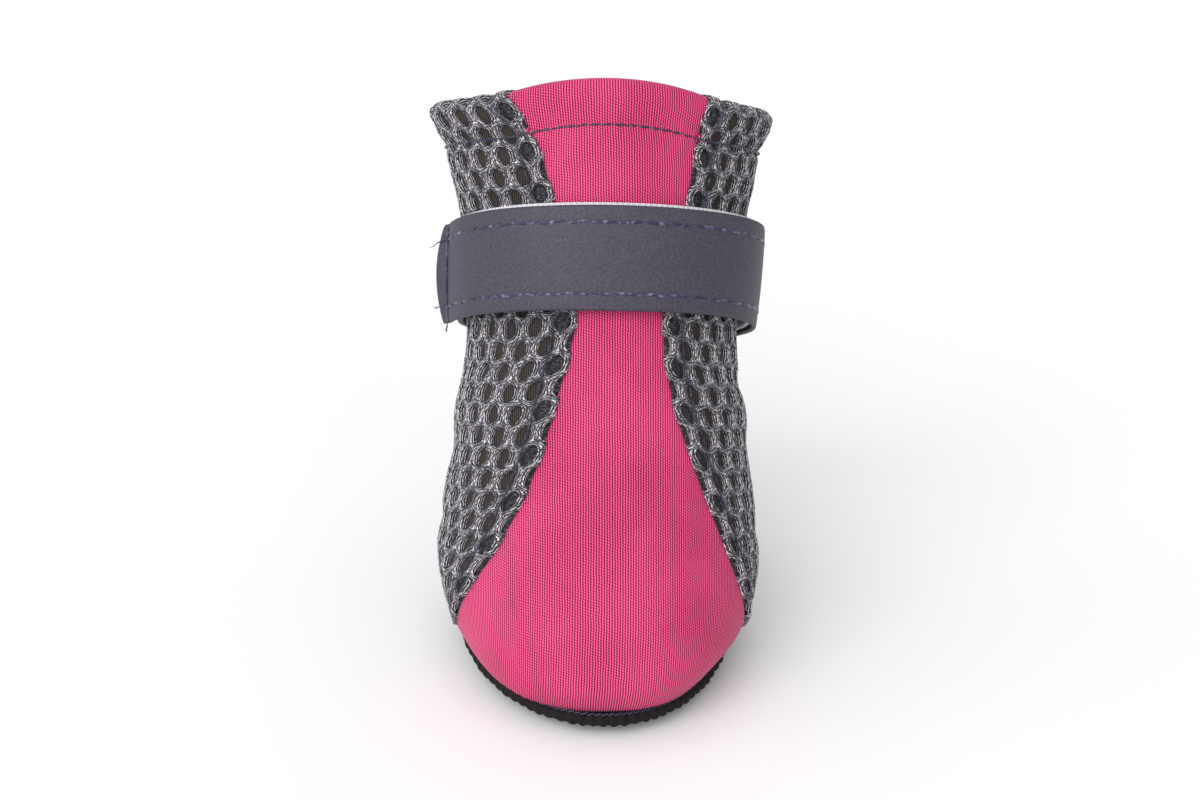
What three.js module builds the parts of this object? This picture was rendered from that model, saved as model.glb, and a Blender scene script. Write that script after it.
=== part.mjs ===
// Dog boot: a soft paw boot with a stretch front panel, open knit sides, a thin grip sole
// and a reflective strap that closes round the pastern.
// Millimetres, +Z up, toe towards -Y, symmetry plane X = 0 but for the strap's two ends,
// origin on the ground under the middle of the boot.
// The upper is one hollow wall. Each of its sections is a closed ring, level at the sole and
// tilted further back the higher it lies, up to the slant of the collar.
import * as THREE from "three";
import { ParametricGeometry } from "three/addons/geometries/ParametricGeometry.js";
import { mergeVertices } from "three/addons/utils/BufferGeometryUtils.js";

// Driving dimensions
const fitGap = 0.3; // between two pieces that touch
const wallThickness = 2.4; // knit face, foam and lining
const soleThickness = 3.0;
const insoleThickness = 1.8;

// The sole is flat in the middle and its edge is drawn up by the upper
const sole = {
  centreY: -5.6,
  halfLength: 37.7,
  halfWidth: 27.1,
  square: 2.1,
  flatShare: 0.62, // of the way from the middle to the edge
  toeSpring: 1.6,
  heelSpring: 1.2,
  sideRise: 3.4,
  archY: -0.4,
  archHalfLength: 8.5,
  archLift: 0.7,
  edgeBulge: 0.4,
};

const hem = { height: 7.5, swell: 1.2, crown: 1.3 };

// The strap leaves the middle of the back, passes round the +X side and the front, and its
// free end lies over the loop band just behind the -X side.
const strap = {
  width: 20,
  thickness: 0.9,
  frontGap: 1.0,
  backGap: 1.95,
  halfWidth: 30.7,
  square: 2.15,
  freeEnd: -0.262,
  root: 0.5,
};
const hookTape = { thickness: 1.0, above: 0.45, belowInset: 1.2, from: -0.25, to: 0.488 };
const loopBand = { width: 17, thickness: 1.3, from: 0.45, to: 0.765 };

// Fineness of the meshes
const slicesRound = 44;
const ringsUp = 26;
const strapSlices = 48;

// The upper's sections from the sole's edge to the collar: where each ring meets the front and
// the back of the boot, half its width, how square it is (2 is an ellipse) and how far it is
// pressed flat, with a fold at each side (0 to 1).
const sections = [
  { at: "sole edge", frontY: -43.4, frontZ: 3.3, backY: 32.1, backZ: 3.3, halfWidth: 27.1, square: 2.1, pressed: 0 },
  { at: "bulge", frontY: -45.4, frontZ: 10.5, backY: 34.4, backZ: 10.0, halfWidth: 31.0, square: 2.1, pressed: 0 },
  { at: "toe cap", frontY: -43.0, frontZ: 22.5, backY: 35.4, backZ: 17.5, halfWidth: 32.8, square: 2.1, pressed: 0 },
  { at: "vamp", frontY: -36.4, frontZ: 35.0, backY: 35.0, backZ: 25.0, halfWidth: 31.8, square: 2.1, pressed: 0 },
  { at: "throat", frontY: -28.4, frontZ: 48.0, backY: 34.2, backZ: 32.5, halfWidth: 30.3, square: 2.1, pressed: 0 },
  { at: "instep", frontY: -20.2, frontZ: 61.5, backY: 33.2, backZ: 40.5, halfWidth: 29.0, square: 2.1, pressed: 0 },
  { at: "strap foot", frontY: -12.7, frontZ: 75.3, backY: 32.8, backZ: 50.0, halfWidth: 27.4, square: 2.1, pressed: 0.1 },
  { at: "strap head", frontY: -5.8, frontZ: 94.6, backY: 36.8, backZ: 71.6, halfWidth: 28.6, square: 2.1, pressed: 0.15 },
  { at: "cuff", frontY: -1.4, frontZ: 106.5, backY: 40.8, backZ: 85.0, halfWidth: 31.2, square: 2.05, pressed: 0.3 },
  { at: "collar", frontY: 2.2, frontZ: 116.0, backY: 44.2, backZ: 95.5, halfWidth: 33.6, square: 2, pressed: 0.5 },
];
// How far the collar's edge dips at both sides of the front panel, from there back
const collarDip = { depth: 2.0, panelTurn: 0.1, fadeTurn: 0.36 };
const levelOf = (name) => sections.findIndex((s) => s.at === name) / (sections.length - 1);

const smoothLine = (toPoint) => new THREE.CatmullRomCurve3(sections.map(toPoint), false, "catmullrom", 0.5);
const frontLine = smoothLine((s) => new THREE.Vector3(0, s.frontY, s.frontZ));
const backLine = smoothLine((s) => new THREE.Vector3(0, s.backY, s.backZ));
const girthLine = smoothLine((s) => new THREE.Vector3(s.halfWidth, s.square, s.pressed));

const ramp = (value, from, to) => THREE.MathUtils.clamp((value - from) / (to - from), 0, 1);

// Height of the sole's underside over the ground: flat forefoot and heel, a low arch between
// them, and an edge that rises most at the sides.
function soleLift(x, y) {
  const across = Math.abs(x) / sole.halfWidth;
  const along = Math.abs(y - sole.centreY) / sole.halfLength;
  const share = (across ** sole.square + along ** sole.square) ** (1 / sole.square);
  const endSpring = y < sole.centreY ? sole.toeSpring : sole.heelSpring;
  const sideways = share > 0 ? (across / share) ** 2 : 0;
  const edgeRise = sole.sideRise * sideways + endSpring * (1 - sideways);
  const arch = Math.max(0, 1 - ((y - sole.archY) / sole.archHalfLength) ** 2);
  return edgeRise * ramp(share, sole.flatShare, 1) ** 2 + sole.archLift * arch ** 2;
}

// A point of a ring from its front and back points. Turn is 0 in front, 0.25 at +X, 0.5 behind.
function ringPoint(front, back, halfWidth, square, pressed, turn) {
  const angle = 2 * Math.PI * turn;
  const sine = Math.sin(angle);
  const cosine = Math.cos(angle);
  const across = Math.sign(sine) * Math.abs(sine) ** (2 / square);
  const forward = Math.sign(cosine) * Math.abs(cosine) ** (2 / square);
  const depth = forward * (1 - pressed + pressed * Math.abs(forward));
  const point = front.clone().lerp(back, (1 - depth) / 2);
  point.x = halfWidth * across;
  return point;
}

// The collar's edge arches up in front, is lowest beside the front panel and fades behind it
function dipAt(level, turn) {
  const aside = Math.abs(turn - Math.round(turn));
  const arch = ramp(aside, 0, collarDip.panelTurn) ** 2;
  const share = ramp(aside, collarDip.panelTurn, collarDip.fadeTurn);
  const kept = 1 - share * share * (3 - 2 * share);
  return collarDip.depth * arch * kept * ramp(level, levelOf("strap head"), 1) ** 2;
}

// The upper's face before its hem is swelled: level is 0 at the sole and 1 at the collar
function facePoint(level, turn) {
  const girth = girthLine.getPoint(level);
  const point = ringPoint(frontLine.getPoint(level), backLine.getPoint(level), girth.x, girth.y, girth.z, turn);
  const fade = 1 - ramp(level, 0, levelOf("vamp"));
  point.z += soleLift(point.x, point.y) * fade ** 1.5 - dipAt(level, turn);
  return point;
}

// The way out of the face, turned level towards the sole so that the wall ends square on it
function outward(level, turn) {
  const step = 1e-3;
  const low = facePoint(Math.max(0, level - step), turn);
  const high = facePoint(Math.min(1, level + step), turn);
  const round = facePoint(level, turn + step).sub(facePoint(level, turn - step));
  const out = round.cross(high.sub(low)).normalize();
  out.z *= ramp(level, 0, levelOf("toe cap"));
  return out.normalize();
}

// Half of the extra thickness of the folded hem, by the distance down from the collar's edge
const cuffDrop = frontLine.getPoint(1).distanceTo(frontLine.getPoint(levelOf("cuff")));
function hemSwell(level) {
  const down = (cuffDrop * (1 - level)) / (1 - levelOf("cuff"));
  return hem.swell * Math.sin((Math.PI / 2) * (1 - ramp(down, 0.25 * hem.height, hem.height))) ** 2;
}

// A point in the upper's wall: depth is 0 on the face and 1 on the lining
function wallPoint(level, turn, depth) {
  const swell = hemSwell(level);
  const out = swell - depth * (wallThickness + 2 * swell);
  return facePoint(level, turn).addScaledVector(outward(level, turn), out);
}

// A closed mesh over a grid of points, columns round it and rows from end to end. Rows that
// are one single point close it like a pole.
function gridSolid(columns, rows, pointAt) {
  const fromShares = (u, v, target) => target.copy(pointAt(Math.round(u * columns), Math.round(v * rows)));
  const geometry = new ParametricGeometry(fromShares, columns, rows);
  geometry.deleteAttribute("normal");
  geometry.deleteAttribute("uv");
  const merged = mergeVertices(geometry, 1e-4);
  const corners = merged.index.array;
  const kept = [];
  for (let i = 0; i < corners.length; i += 3) {
    const [a, b, c] = corners.slice(i, i + 3);
    if (a !== b && b !== c && c !== a) kept.push(a, b, c);
  }
  merged.setIndex(kept);
  merged.computeVertexNormals();
  return merged;
}

// Up the face, over the crown of the hem, down the lining and back along the lower rim
function upperGeometry() {
  const steps = [];
  for (let i = 0; i <= ringsUp; i++) steps.push({ level: i / ringsUp, depth: 0, rise: 0 });
  for (const depth of [0.2, 0.5, 0.8]) steps.push({ level: 1, depth, rise: hem.crown * Math.sin(Math.PI * depth) });
  for (let i = ringsUp; i >= 0; i--) steps.push({ level: i / ringsUp, depth: 1, rise: 0 });
  const collarSlope = backLine.getPoint(1).sub(frontLine.getPoint(1)).normalize();
  const collarUp = new THREE.Vector3(1, 0, 0).cross(collarSlope);
  return gridSolid(slicesRound, steps.length, (i, j) => {
    const { level, depth, rise } = steps[j % steps.length];
    return wallPoint(level, (i % slicesRound) / slicesRound, depth).addScaledVector(collarUp, rise);
  });
}

// A sheet that lies along the sole: the sole itself, or the insole over it
function soleSheet(inset, bottomHeight, topHeight, edgeBulge) {
  const shares = [0, 0.2, 0.4, sole.flatShare, 0.75, 0.88, 1];
  const steps = shares.map((share) => ({ share, height: bottomHeight, bulge: 0 }));
  steps.push({ share: 1, height: (bottomHeight + topHeight) / 2, bulge: edgeBulge });
  steps.push(...shares.toReversed().map((share) => ({ share, height: topHeight, bulge: 0 })));
  return gridSolid(slicesRound, steps.length - 1, (i, j) => {
    const { share, height, bulge } = steps[j];
    const angle = (2 * Math.PI * (i % slicesRound)) / slicesRound;
    const edge = ringPoint(
      new THREE.Vector3(0, sole.centreY - sole.halfLength + inset, 0),
      new THREE.Vector3(0, sole.centreY + sole.halfLength - inset, 0),
      sole.halfWidth - inset,
      sole.square,
      0,
      angle / (2 * Math.PI),
    );
    const centre = new THREE.Vector3(0, sole.centreY, 0);
    const point = centre.lerp(edge, share);
    const lift = soleLift(point.x, point.y);
    point.x += bulge * Math.sin(angle);
    point.y -= bulge * Math.cos(angle);
    point.z = lift + height;
    return point;
  });
}

// A straight tape wrapped round the neck of the boot between two turns. Across runs from its
// lower edge to its upper edge in mm, out from its inner face to its outer face.
function neckTape({ from, to, lower, upper, out, thickness, halfWidth, frontGap, backGap }) {
  const foot = { front: frontLine.getPoint(levelOf("strap foot")), back: backLine.getPoint(levelOf("strap foot")) };
  const head = { front: frontLine.getPoint(levelOf("strap head")), back: backLine.getPoint(levelOf("strap head")) };
  const corners = [
    { across: lower, out },
    { across: upper, out },
    { across: upper, out: out + thickness },
    { across: lower, out: out + thickness },
  ];
  const tapePoint = (turn, across, away) => {
    const place = (line, gap) => {
      const up = head[line].clone().sub(foot[line]).normalize();
      const side = line === "front" ? -1 : 1;
      const off = new THREE.Vector3(0, side * up.z, -side * up.y);
      const middle = foot[line].clone().lerp(head[line], 0.5);
      return middle.addScaledVector(up, across).addScaledVector(off, gap + away);
    };
    return ringPoint(place("front", frontGap), place("back", backGap), halfWidth + away, strap.square, 0, turn);
  };
  return gridSolid(4, strapSlices + 2, (i, j) => {
    const slice = THREE.MathUtils.clamp(j - 1, 0, strapSlices);
    const turn = THREE.MathUtils.lerp(from, to, slice / strapSlices);
    const corner = corners[i % 4];
    if (j !== slice + 1) {
      return tapePoint(turn, (lower + upper) / 2, out + thickness / 2);
    }
    return tapePoint(turn, corner.across, corner.out);
  });
}

const root = new THREE.Group();
function addPiece(name, geometry, color, roughness) {
  const mesh = new THREE.Mesh(geometry, new THREE.MeshStandardMaterial({ color, roughness, metalness: 0 }));
  mesh.name = name;
  root.add(mesh);
}

addPiece("outsole", soleSheet(0, 0, soleThickness, sole.edgeBulge), 0x2a1d25, 0.9);
addPiece(
  "insole",
  soleSheet(wallThickness + fitGap, soleThickness + fitGap, soleThickness + fitGap + insoleThickness, 0),
  0x3a3a40,
  0.95,
);
addPiece("upper", upperGeometry(), 0xd74a7a, 0.85);
addPiece(
  "strap_band",
  neckTape({
    from: strap.freeEnd,
    to: strap.root,
    lower: -strap.width / 2,
    upper: strap.width / 2,
    out: hookTape.thickness + fitGap,
    thickness: strap.thickness,
    halfWidth: strap.halfWidth,
    frontGap: strap.frontGap,
    backGap: strap.backGap,
  }),
  0x58555f,
  0.55,
);
addPiece(
  "strap_hook_tape",
  neckTape({
    from: hookTape.from,
    to: hookTape.to,
    lower: -strap.width / 2 + hookTape.belowInset,
    upper: strap.width / 2 + hookTape.above,
    out: 0,
    thickness: hookTape.thickness,
    halfWidth: strap.halfWidth,
    frontGap: strap.frontGap,
    backGap: strap.backGap,
  }),
  0xd9d7da,
  0.8,
);
addPiece(
  "loop_band",
  neckTape({
    from: loopBand.from,
    to: loopBand.to,
    lower: -loopBand.width / 2,
    upper: loopBand.width / 2,
    out: -fitGap - loopBand.thickness,
    thickness: loopBand.thickness,
    halfWidth: strap.halfWidth,
    frontGap: strap.frontGap,
    backGap: strap.backGap,
  }),
  0x2c2a33,
  0.95,
);

export default root;
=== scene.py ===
import math
import random

import bmesh
import bpy
import numpy as np
from mathutils import Matrix, Vector


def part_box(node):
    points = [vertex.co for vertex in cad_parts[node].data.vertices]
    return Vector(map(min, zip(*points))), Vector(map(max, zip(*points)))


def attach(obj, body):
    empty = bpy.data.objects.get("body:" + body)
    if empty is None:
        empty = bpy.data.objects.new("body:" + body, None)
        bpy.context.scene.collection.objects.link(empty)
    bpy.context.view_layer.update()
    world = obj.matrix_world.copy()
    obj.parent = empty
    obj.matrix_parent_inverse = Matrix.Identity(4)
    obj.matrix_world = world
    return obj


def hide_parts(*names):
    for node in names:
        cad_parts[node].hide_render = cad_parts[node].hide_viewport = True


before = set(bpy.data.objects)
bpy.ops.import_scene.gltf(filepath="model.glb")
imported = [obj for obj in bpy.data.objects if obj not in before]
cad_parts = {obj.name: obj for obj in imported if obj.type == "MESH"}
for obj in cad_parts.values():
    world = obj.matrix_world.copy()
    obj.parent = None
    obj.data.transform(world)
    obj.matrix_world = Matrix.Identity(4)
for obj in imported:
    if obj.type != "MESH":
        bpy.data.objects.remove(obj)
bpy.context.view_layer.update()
print(f"frame loaded: {len(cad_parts)} nodes")
random.seed(7)
randomNumbers = np.random.default_rng(7)
mm = 0.001  # every table below is in millimetres

# The camera looks a little down on the toe, from the viewer's left
camera = {
    "around": (0, 0.6, 55),
    "aim": (-0.5, 0.6, 51.5),
    "distance": 380,
    "azimuth": 5,
    "elevation": 22,
    "roll": 2.61,
    "lens": 56.4,
}


def makeCamera():
    turns = ("azimuth", "elevation", "roll")
    azimuth, elevation, roll = (math.radians(camera[turn]) for turn in turns)
    towards = Vector((math.sin(azimuth), math.cos(azimuth), 0)) * math.cos(elevation)
    towards.z = -math.sin(elevation)
    eye = Vector(camera["around"]) - towards * camera["distance"]
    view = (Vector(camera["aim"]) - eye).normalized()
    right = view.cross(Vector((0, 0, 1))).normalized()
    up = right.cross(view)
    rolledRight = right * math.cos(roll) + up * math.sin(roll)
    rolledUp = up * math.cos(roll) - right * math.sin(roll)
    data = bpy.data.cameras.new("camera")
    data.lens = camera["lens"]
    data.clip_start, data.clip_end = 0.01, 20
    holder = bpy.data.objects.new("camera", data)
    bpy.context.scene.collection.objects.link(holder)
    turned = Matrix((rolledRight, rolledUp, -view)).transposed().to_4x4()
    holder.matrix_world = Matrix.Translation(eye * mm) @ turned
    bpy.context.scene.camera = holder


makeCamera()
print("camera placed")

# The upper: a ring at each section, leaning with the leg. The two last columns say where the
# front panel's seams run, as turns from the front centre line.
sectionNames = (
    "sole edge", "bulge", "toe cap", "vamp", "throat",
    "instep", "strap foot", "strap head", "cuff", "collar",
)
sectionColumns = (
    "frontY", "frontZ", "backY", "backZ", "halfWidth", "square", "pressed", "leftSeam", "rightSeam",
)
leftSeamColumn = sectionColumns.index("leftSeam")
rightSeamColumn = sectionColumns.index("rightSeam")
sectionTable = np.array((
    (-43.4, 3.3, 32.1, 3.3, 27.1, 2.1, 0, -0.225, 0.222),
    (-45.4, 10.5, 34.4, 10.0, 31.0, 2.1, 0, -0.190, 0.186),
    (-43.0, 22.5, 35.4, 17.5, 32.8, 2.1, 0, -0.152, 0.150),
    (-36.4, 35.0, 35.0, 25.0, 31.8, 2.1, 0, -0.110, 0.120),
    (-28.4, 48.0, 34.2, 32.5, 30.3, 2.1, 0, -0.075, 0.088),
    (-20.2, 61.5, 33.2, 40.5, 29.0, 2.1, 0, -0.052, 0.061),
    (-12.7, 75.3, 32.8, 50.0, 27.4, 2.1, 0.1, -0.038, 0.056),
    (-5.8, 94.6, 36.8, 71.6, 28.6, 2.1, 0.15, -0.060, 0.078),
    (-1.4, 106.5, 40.8, 85.0, 31.2, 2.05, 0.3, -0.075, 0.086),
    (2.2, 116.0, 44.2, 95.5, 33.6, 2, 0.5, -0.094, 0.092),
))
upper = {
    "wall": 2.4,
    "roughDrop": 112,  # about how far the sole's edge lies below the collar
    "hemHeight": 7.5,
    "hemSwell": 1.2,
    "hemCrown": 1.3,
    "hemStitchDrop": 7.6,
    "hemInside": 8.0,
    "hemPinch": 0.45,
    "hemPinchHalfWidth": 1.1,
    "toeSag": 1.3,  # the cloth bags over the sole's edge at both sides of the toe
    "sagOut": 0.45,  # share of the sag by which it also stands out on the left
    "sagLevel": 0.12,
    "sagTurn": 0.13,
    "sagHalfTurn": 0.07,
    "collarShift": 0.8,  # the collar has been pushed over a little to the left
    "collarDip": 2.0,  # the collar's edge arches up in front and dips beside the front panel
    "dipTurn": 0.1,
    "dipFadeTurn": 0.36,
}
lastSection = len(sectionNames) - 1

soleLow, soleHigh = (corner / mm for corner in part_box("outsole"))
sole = {
    "edgeBulge": 0.4,
    "thickness": 3.0,
    "square": 2.1,
    "flatShare": 0.62,
    "toeSpring": 1.6,
    "heelSpring": 1.2,
    "sideRise": 3.4,
    "archY": -0.4,
    "archHalfLength": 8.5,
    "archLift": 0.7,
}
sole["centreY"] = (soleLow.y + soleHigh.y) / 2
sole["halfLength"] = (soleHigh.y - soleLow.y) / 2 - sole["edgeBulge"]
sole["halfWidth"] = (soleHigh.x - soleLow.x) / 2 - sole["edgeBulge"]


def levelOf(name):
    return sectionNames.index(name) / lastSection


def ramp(value, low, high):
    return np.clip((value - low) / (high - low), 0, 1)


def ease(value, low, high):
    share = ramp(value, low, high)
    return share * share * (3 - 2 * share)


def bell(distance, halfWidth):
    return np.exp(-((distance / halfWidth) ** 2))


# How far round from the front centre line, on either side
def turnAside(turn):
    return np.abs((turn + 0.5) % 1 - 0.5)


# A smooth curve through the rows of the section table, all its columns at once
def throughSections(level):
    rows = sectionTable
    table = np.vstack([2 * rows[0] - rows[1], rows, 2 * rows[-1] - rows[-2]])
    place = np.clip(np.asarray(level, float), 0, 1) * lastSection
    start = np.minimum(place.astype(int), lastSection - 1)
    share = (place - start)[..., None]
    before, here, after, beyond = (table[start + k] for k in range(4))
    slopeIn, slopeOut = (after - before) / 2, (beyond - here) / 2
    square = 3 * (after - here) - 2 * slopeIn - slopeOut
    cube = 2 * (here - after) + slopeIn + slopeOut
    return here + slopeIn * share + square * share**2 + cube * share**3


def soleLift(x, y):
    across = np.abs(x) / sole["halfWidth"]
    along = np.abs(y - sole["centreY"]) / sole["halfLength"]
    share = (across ** sole["square"] + along ** sole["square"]) ** (1 / sole["square"])
    spring = np.where(y < sole["centreY"], sole["toeSpring"], sole["heelSpring"])
    sideways = (across / np.maximum(share, 1e-9)) ** 2
    edgeRise = sole["sideRise"] * sideways + spring * (1 - sideways)
    arch = np.maximum(0, 1 - ((y - sole["archY"]) / sole["archHalfLength"]) ** 2)
    return edgeRise * ramp(share, sole["flatShare"], 1) ** 2 + sole["archLift"] * arch**2


# A point of an oval ring between its front and back points: turn 0 is in front, 0.25 at +X
def ringPoint(front, back, halfWidth, square, pressed, turn):
    sine, cosine = np.sin(2 * np.pi * turn), np.cos(2 * np.pi * turn)
    across = np.sign(sine) * np.abs(sine) ** (2 / square)
    forward = np.sign(cosine) * np.abs(cosine) ** (2 / square)
    depth = forward * (1 - pressed + pressed * np.abs(forward))
    y = front[0] + (back[0] - front[0]) * (1 - depth) / 2
    z = front[1] + (back[1] - front[1]) * (1 - depth) / 2
    return np.stack([halfWidth * across, y, z], -1)


# How far the collar's edge dips, most beside the front panel and not at all in front
def collarDip(level, turn):
    aside = turnAside(turn)
    arch = ramp(aside, 0, upper["dipTurn"]) ** 2
    shape = arch * (1 - ease(aside, upper["dipTurn"], upper["dipFadeTurn"]))
    return upper["collarDip"] * shape * ramp(level, levelOf("strap head"), 1) ** 2


def facePoint(level, turn):
    level, turn = np.broadcast_arrays(np.asarray(level, float), np.asarray(turn, float))
    columns = np.moveaxis(throughSections(level), -1, 0)
    frontY, frontZ, backY, backZ, halfWidth, square, pressed = columns[:leftSeamColumn]
    point = ringPoint((frontY, frontZ), (backY, backZ), halfWidth, square, pressed, turn)
    fade = 1 - ramp(level, 0, levelOf("vamp"))
    point[..., 2] += soleLift(point[..., 0], point[..., 1]) * fade**1.5
    point[..., 2] -= collarDip(level, turn)
    return point


def unit(vectors):
    return vectors / np.linalg.norm(vectors, axis=-1, keepdims=True)


# The way out of the face, turned level towards the sole
def outward(level, turn):
    step = 1e-3
    higher, lower = np.minimum(1, level + step), np.maximum(0, level - step)
    upwards = facePoint(higher, turn) - facePoint(lower, turn)
    sideways = facePoint(level, turn + step) - facePoint(level, turn - step)
    out = unit(np.cross(sideways, upwards))
    out[..., 2] *= ramp(level, 0, levelOf("toe cap"))
    return unit(out)


# Lengths along the face, so that cloth can be laid out in its own millimetres: drop is down
# from the collar's edge and girth is round from the front centre line.
tableLevels, tableTurns = np.linspace(0, 1, 181), np.linspace(-0.5, 0.5, 361)
tablePoints = facePoint(tableLevels[:, None], tableTurns[None, :])
upSteps = np.linalg.norm(np.diff(tablePoints, axis=0), axis=-1)
roundSteps = np.linalg.norm(np.diff(tablePoints, axis=1), axis=-1)
dropTable = np.vstack([np.cumsum(upSteps[::-1], axis=0)[::-1], np.zeros((1, len(tableTurns)))])
girthTable = np.hstack([np.zeros((len(tableLevels), 1)), np.cumsum(roundSteps, axis=1)])
girthTable -= girthTable[:, len(tableTurns) // 2][:, None]
dropSpeed = -np.gradient(dropTable, tableLevels, axis=0)
girthSpeed = np.gradient(girthTable, tableTurns, axis=1)


def lookUp(table, level, turn):
    row = np.clip(level, 0, 1) * (len(tableLevels) - 1)
    column = np.clip(turn + 0.5, 0, 1) * (len(tableTurns) - 1)
    low = np.minimum(row.astype(int), len(tableLevels) - 2)
    left = np.minimum(column.astype(int), len(tableTurns) - 2)
    up, along = row - low, column - left
    lower = table[low, left] * (1 - along) + table[low, left + 1] * along
    higher = table[low + 1, left] * (1 - along) + table[low + 1, left + 1] * along
    return lower * (1 - up) + higher * up


def girthOf(level, turn):
    return lookUp(girthTable, level, turn)


def dropOf(level, turn):
    return lookUp(dropTable, level, turn)


def seamTurn(level, side):
    columns = throughSections(level)
    return np.where(side < 0, columns[..., leftSeamColumn], columns[..., rightSeamColumn])


def seamGirth(level, side):
    return girthOf(level, seamTurn(level, side))


# Distance round the face from the seam of one side, which grows towards the back
def acrossFromSeam(level, turn, side):
    return side * (girthOf(level, turn) - seamGirth(level, side))


def sideGirth(level, side):
    return acrossFromSeam(level, side * 0.5, side)


# One step nearer to the turn, or the level, where the face has the wanted girth or drop
def nearerTurn(girth, level, turn):
    return turn + (girth - girthOf(level, turn)) / lookUp(girthSpeed, level, turn)


def nearerLevel(drop, level, turn):
    return level + (dropOf(level, turn) - drop) / lookUp(dropSpeed, level, turn)


# Level and turn of the place that lies so far from a seam and from the collar's edge
def placeOnFace(side, acrossAt, drop):
    level = np.clip(1 - drop / upper["roughDrop"], 0, 1)
    turn = side * 0.25 * np.ones_like(level)
    for _ in range(12):
        miss = acrossAt(level) - acrossFromSeam(level, turn, side)
        turn = np.clip(turn + side * miss / lookUp(girthSpeed, level, turn), -0.5, 0.5)
        level = np.clip(nearerLevel(drop, level, turn), 0, 1)
    return level, turn


# Soft folds and hollows of the cloth: how far they lie round from the front
# centre line and down from the collar, their lean from level, and their size
foldColumns = ("across", "drop", "lean", "halfLength", "halfWidth", "height")
folds = (
    (0, 122, 0, 9, 5.5, -0.7),  # dimple low on the toe
    (42, 122, 8, 24, 15, -1.5),  # the toe is flatter on the right
    (-17, 100, 70, 24, 9, -0.35),
    (19, 97, -72, 24, 9, -0.35),
    (0, 74, 90, 20, 8, 0.35),  # soft ridge down the middle of the vamp
    (-9, 13.5, 35, 7, 1.6, 0.35),  # puckers under the hem's stitching
    (-15, 15.5, 48, 7, 1.5, -0.35),
    (10, 14, -28, 6, 1.8, 0.28),
    (2, 12.5, 4, 9, 1.7, 0.3),
    (-28, 22, 20, 9, 2.2, -0.5),
    (30, 21, -18, 10, 2.4, -0.5),
    (-31, 14, 6, 9, 2.0, 0.45),
    (33, 14, -8, 9, 2.0, 0.45),
    (-34, 52, 12, 15, 2.8, -0.6),  # bends of the ankle below the strap
    (-40, 60, 18, 13, 3.0, 0.25),
    (36, 54, -10, 15, 2.8, -0.9),
    (42, 62, -16, 13, 3.0, 0.3),
    (-66, 50, 8, 16, 3.0, -1.0),
    (66, 47, -6, 15, 2.8, -0.9),
    (-52, 70, 24, 14, 3.4, -0.7),
    (54, 72, -22, 14, 3.2, -0.7),
    (-80, 56, -4, 14, 2.6, 0.7),
    (82, 60, 6, 14, 2.6, 0.6),
    (-60, 84, 4, 18, 2.4, -0.6),
    (62, 86, -3, 18, 2.4, -0.6),
)


def foldLift(level, turn):
    across, drop = girthOf(level, turn), dropOf(level, turn)
    lift = np.zeros_like(across)
    for row in folds:
        fold = dict(zip(foldColumns, row))
        cosine, sine = math.cos(math.radians(fold["lean"])), math.sin(math.radians(fold["lean"]))
        along = (across - fold["across"]) * cosine - (drop - fold["drop"]) * sine
        over = (across - fold["across"]) * sine + (drop - fold["drop"]) * cosine
        lift += fold["height"] * bell(over, fold["halfWidth"]) * bell(along, fold["halfLength"])
    return lift


def hemSwell(level):
    cuffDrop = math.dist(sectionTable[-1][:2], sectionTable[-2][:2])
    down = cuffDrop * (1 - level) / (1 - levelOf("cuff"))
    fading = ramp(down, 0.25 * upper["hemHeight"], upper["hemHeight"])
    return upper["hemSwell"] * np.sin(math.pi / 2 * (1 - fading)) ** 2


collarFront, collarBack = sectionTable[-1][:2], sectionTable[-1][2:4]
collarSlope = np.array([0, *(collarBack - collarFront)])
collarUp = np.cross([1, 0, 0], collarSlope / np.linalg.norm(collarSlope))
crownHalfWidth = upper["wall"] / 2 + upper["hemSwell"]
crownLength = math.pi * math.sqrt((crownHalfWidth**2 + upper["hemCrown"] ** 2) / 2)


# A point of the cloth. Over is 0 on the outside, 1 on the inside and between them on the
# crown of the hem, and lift is out of the wall from there.
def clothPoint(level, turn, over, lift):
    out = outward(level, turn)
    outside = np.maximum(0, 1 - 2 * over)
    fromStitches = dropOf(level, turn) - upper["hemStitchDrop"]
    lift = lift + foldLift(level, turn) * outside
    lift = lift - upper["hemPinch"] * bell(fromStitches, upper["hemPinchHalfWidth"])
    aside = turnAside(turn)
    low = outside * (1 - ease(level, 0, upper["sagLevel"]))
    low = low * bell(aside - upper["sagTurn"], upper["sagHalfTurn"])
    lift = lift + upper["toeSag"] * upper["sagOut"] * low * np.where(turn > 0, -1, 1)
    half = (upper["wall"] / 2 + hemSwell(level) + lift) * np.cos(math.pi * over)
    rise = (upper["hemCrown"] + lift) * np.sin(math.pi * over)
    middle = facePoint(level, turn) - out * upper["wall"] / 2
    middle[..., 2] -= upper["toeSag"] * low
    middle[..., 0] -= upper["collarShift"] * ramp(level, levelOf("strap head"), 1)
    return middle + out * half[..., None] + collarUp * rise[..., None]


# Past the collar's edge the cloth goes over the crown and then down the inside
def dropToPlace(drop):
    past = np.maximum(0, -drop)
    inside = np.where(drop > 0, drop, np.maximum(0, past - crownLength))
    return inside, np.clip(past / crownLength, 0, 1)


print("cloth tables ready")


# Colours and materials
def paint(code):
    values = [int(code[k : k + 2], 16) / 255 for k in (1, 3, 5)]
    return tuple(v / 12.92 if v <= 0.04045 else ((v + 0.055) / 1.055) ** 2.4 for v in values) + (1,)


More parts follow.
